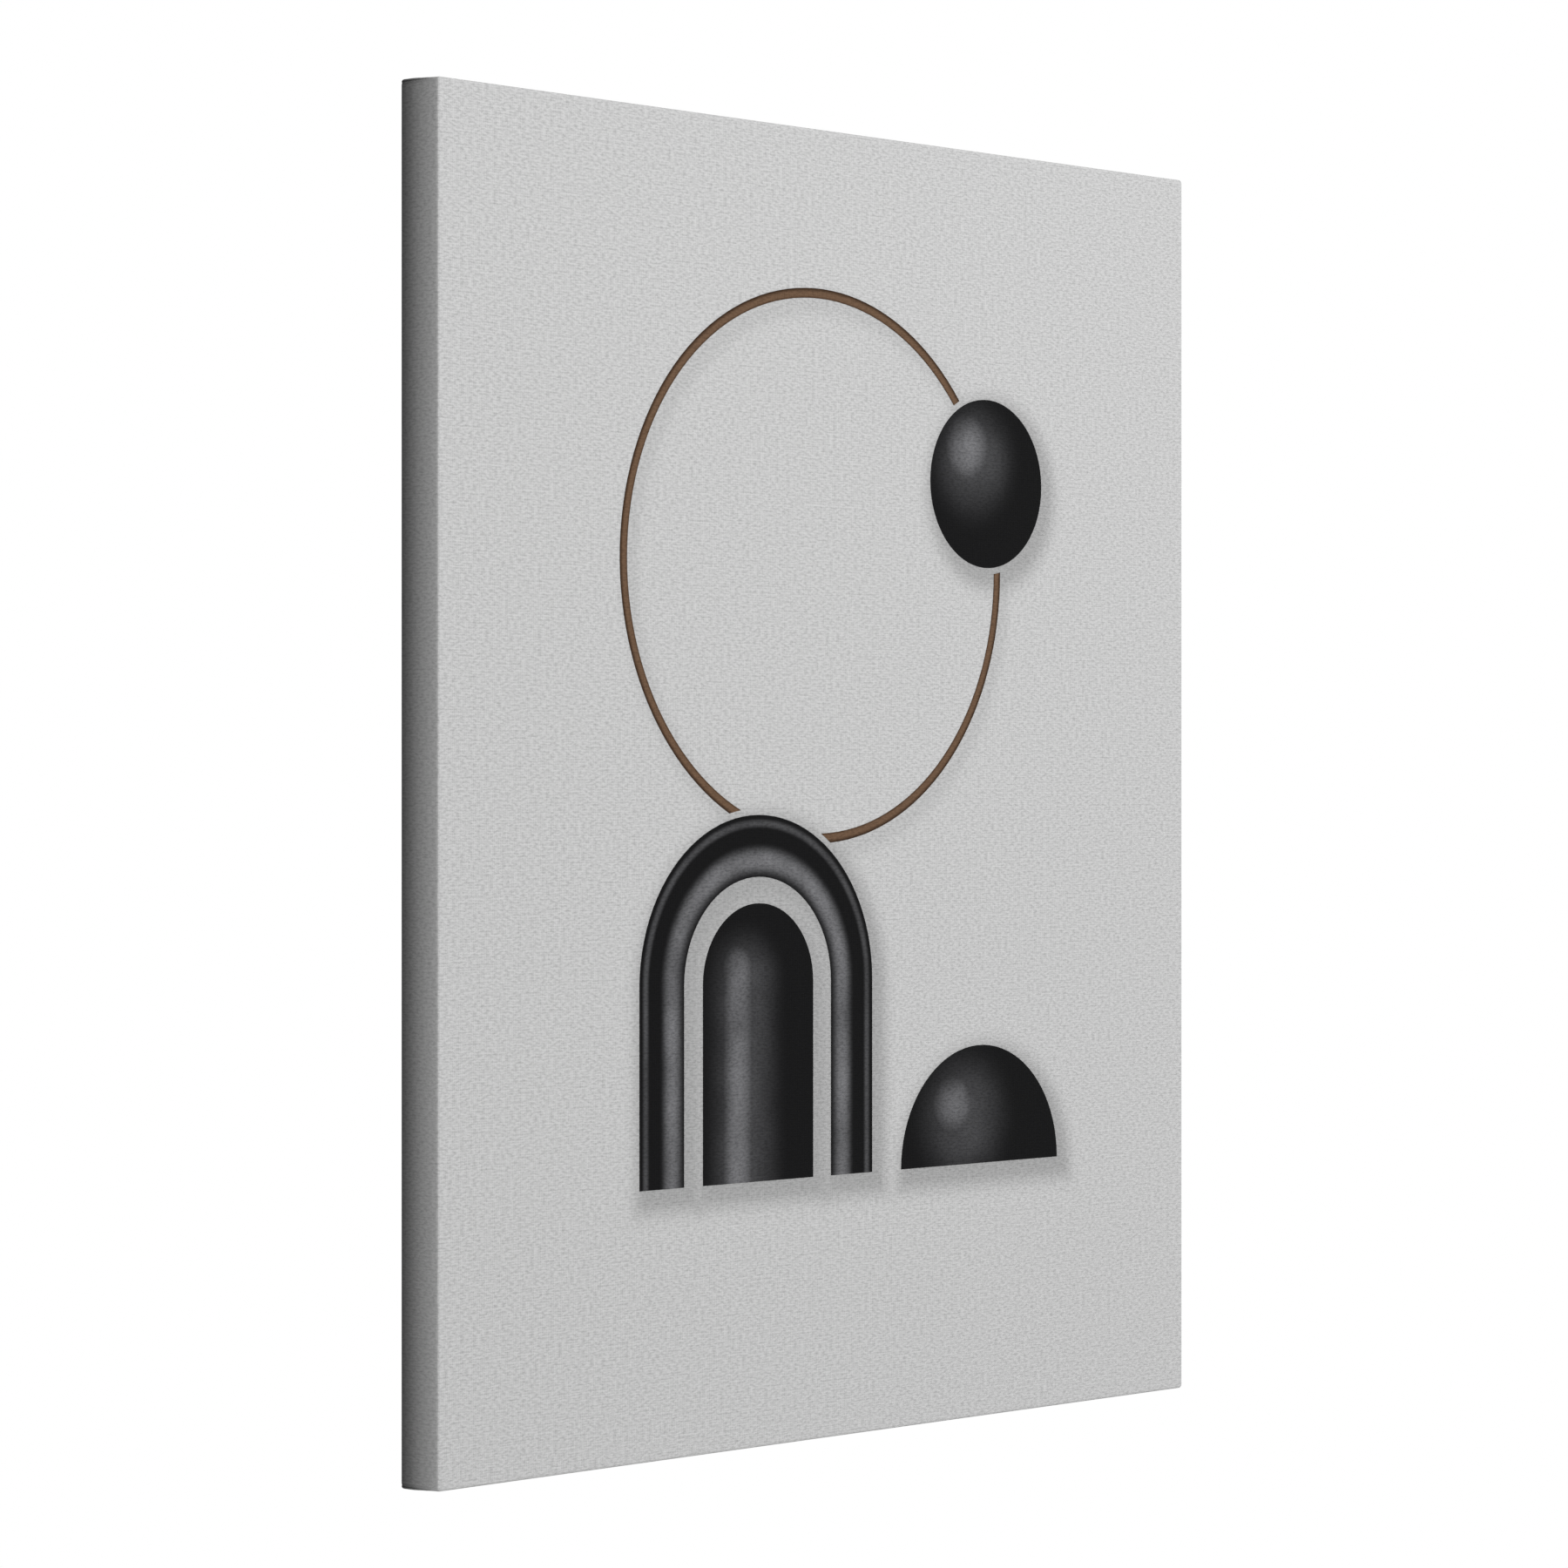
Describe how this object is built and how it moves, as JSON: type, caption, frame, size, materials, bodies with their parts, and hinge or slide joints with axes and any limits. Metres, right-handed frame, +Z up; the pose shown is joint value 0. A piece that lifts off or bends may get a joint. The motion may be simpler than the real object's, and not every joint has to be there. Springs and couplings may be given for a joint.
{
  "type": "stretched canvas print",
  "caption": "Picture printed on canvas, stretched round a keyed wooden frame with a cross brace, stapled at the back, with a sawtooth hanger and wall bumpers.",
  "frame": {"origin": "where the wall nail carries the hanger: on the plane of the wall, at the roots of the hanger's teeth, in the middle of the width", "axes": "+X to the right as one looks at the picture, +Y into the wall, +Z up; the picture faces -Y"},
  "size_m": [0.5008, 0.0267, 0.6024],
  "materials": {
    "printed_canvas": "matte woven",
    "dark_ink": "matte woven",
    "brown_ink": "matte woven",
    "pine": "planed, unfinished",
    "beech": "sawn, unfinished",
    "zinc_plated_steel": "satin",
    "bumper_rubber": "matte"
  },
  "bodies": {
    "root": {"canvas": "printed_canvas", "print_dark_shapes": "dark_ink", "print_brown_circle": "brown_ink", "top_bar": "pine", "bottom_bar": "pine", "left_bar": "pine", "right_bar": "pine", "cross_brace": "pine", "top_bar_key_left": "beech", "top_bar_key_right": "beech", "right_bar_key_top": "beech", "right_bar_key_bottom": "beech", "bottom_bar_key_right": "beech", "bottom_bar_key_left": "beech", "left_bar_key_bottom": "beech", "left_bar_key_top": "beech", "staples": "zinc_plated_steel", "sawtooth_hanger": "zinc_plated_steel", "hanger_screws": "zinc_plated_steel", "bumper_left": "bumper_rubber", "bumper_right": "bumper_rubber"}
  },
  "joints": []
}
